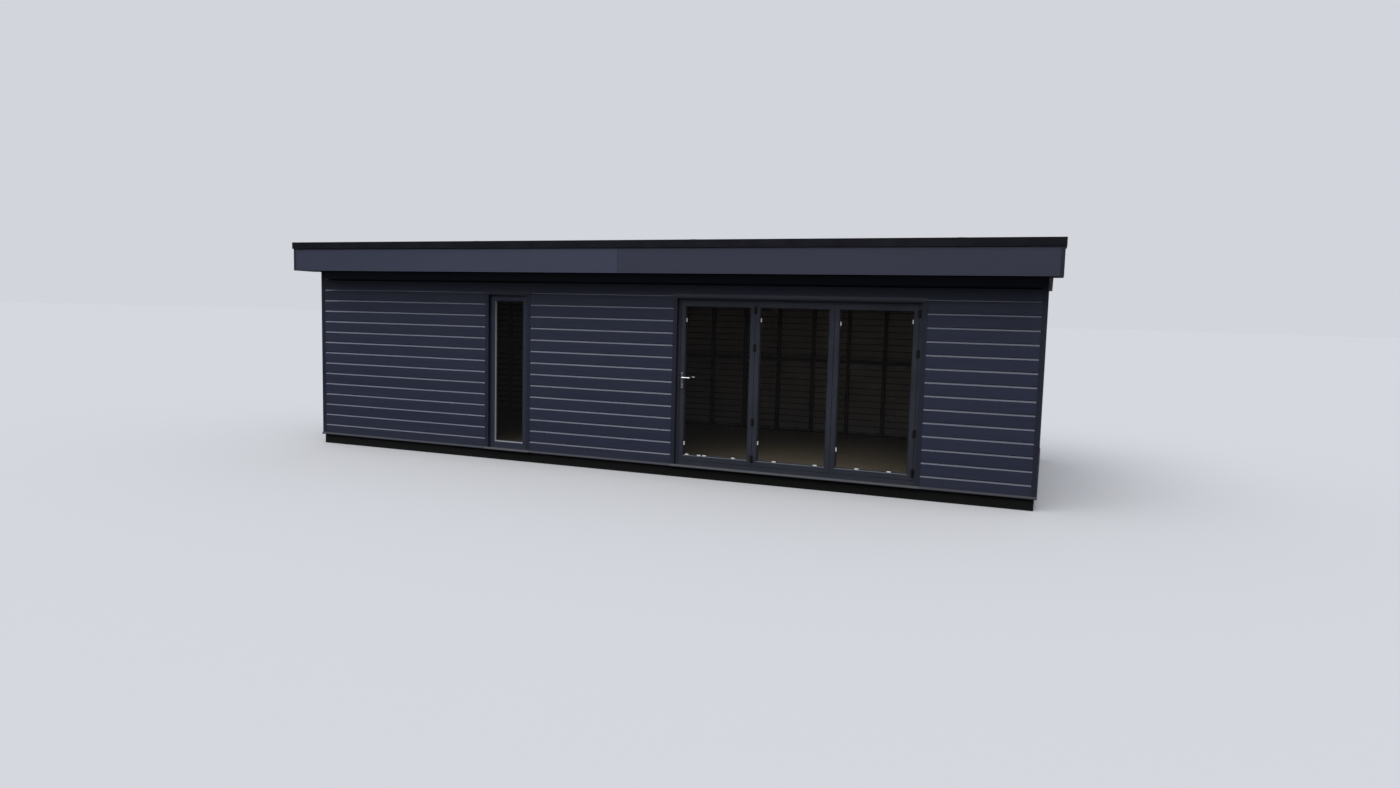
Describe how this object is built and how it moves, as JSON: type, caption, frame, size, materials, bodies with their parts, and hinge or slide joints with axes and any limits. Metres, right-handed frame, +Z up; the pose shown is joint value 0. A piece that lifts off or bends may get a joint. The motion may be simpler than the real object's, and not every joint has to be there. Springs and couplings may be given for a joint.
{
  "type": "garden office pod",
  "caption": "Long flat-roofed timber garden room in anthracite grey shiplap, with a deep fascia over the front, a tall narrow window and a folding glass door.",
  "frame": {"origin": "middle of the whole outline, on the ground: the underside of the concrete base", "axes": "+X to the right along the front with the door, +Y from the front into the depth, +Z up"},
  "size_m": [10.11, 4.63, 2.878],
  "materials": {
    "concrete": "cast concrete, weathered",
    "chipboard": "bare chipboard flooring",
    "timber_frame": "sawn softwood and sheathing board",
    "shiplap": "anthracite grey foiled shiplap with a fine grain",
    "trim": "anthracite grey foiled trim",
    "window_plastic": "anthracite grey foiled frame",
    "bead": "grey glazing bead",
    "glass": "clear sealed unit",
    "door_metal": "anthracite grey powder coat",
    "seal": "black door seal",
    "hinge": "black powder-coated hinge",
    "handle": "polished chrome",
    "joist_timber": "sawn softwood",
    "roof_board": "oriented strand board",
    "roof_rubber": "black rubber sheet",
    "fascia": "anthracite grey smooth fascia board",
    "soffit": "anthracite grey soffit board",
    "edge_trim": "black grey edge trim",
    "gutter": "anthracite grey gutter"
  },
  "bodies": {
    "root": {"concrete_base": "concrete", "floor_deck": "chipboard", "front_wall_left": "timber_frame", "front_wall_middle": "timber_frame", "front_wall_right": "timber_frame", "wall_over_window": "timber_frame", "wall_over_door": "timber_frame", "back_wall": "timber_frame", "left_wall": "timber_frame", "right_wall": "timber_frame", "cladding_front_left": "shiplap", "cladding_front_middle": "shiplap", "cladding_front_right": "shiplap", "cladding_front_top": "shiplap", "cladding_back": "shiplap", "cladding_left": "shiplap", "cladding_right": "shiplap", "corner_trims": "trim", "window_trim": "trim", "door_side_trims": "trim", "door_head_trim": "trim", "starter_trims": "trim", "cills": "door_metal", "window_frame": "window_plastic", "window_bead": "bead", "window_glass": "glass", "door_jambs": "door_metal", "door_head": "door_metal", "door_threshold": "door_metal", "door_leaf_1": "door_metal", "door_leaf_2": "door_metal", "door_leaf_3": "door_metal", "door_glass": "glass", "leaf_seals": "seal", "handle_plates": "handle", "lever_handles": "handle", "outer_hinges": "hinge", "inner_hinges": "hinge", "front_kerb": "joist_timber", "end_kerbs": "joist_timber", "roof_joists": "joist_timber", "roof_deck": "roof_board", "roof_rubber": "roof_rubber", "rubber_upstands": "roof_rubber", "fascia_front": "fascia", "fascia_ends": "fascia", "fascia_back": "fascia", "soffit_front": "soffit", "soffit_ends": "soffit", "soffit_back": "soffit", "edge_trim_front": "edge_trim", "edge_trim_ends": "edge_trim", "edge_trim_back": "edge_trim", "rear_gutter": "gutter", "downpipe": "gutter"}
  },
  "joints": []
}
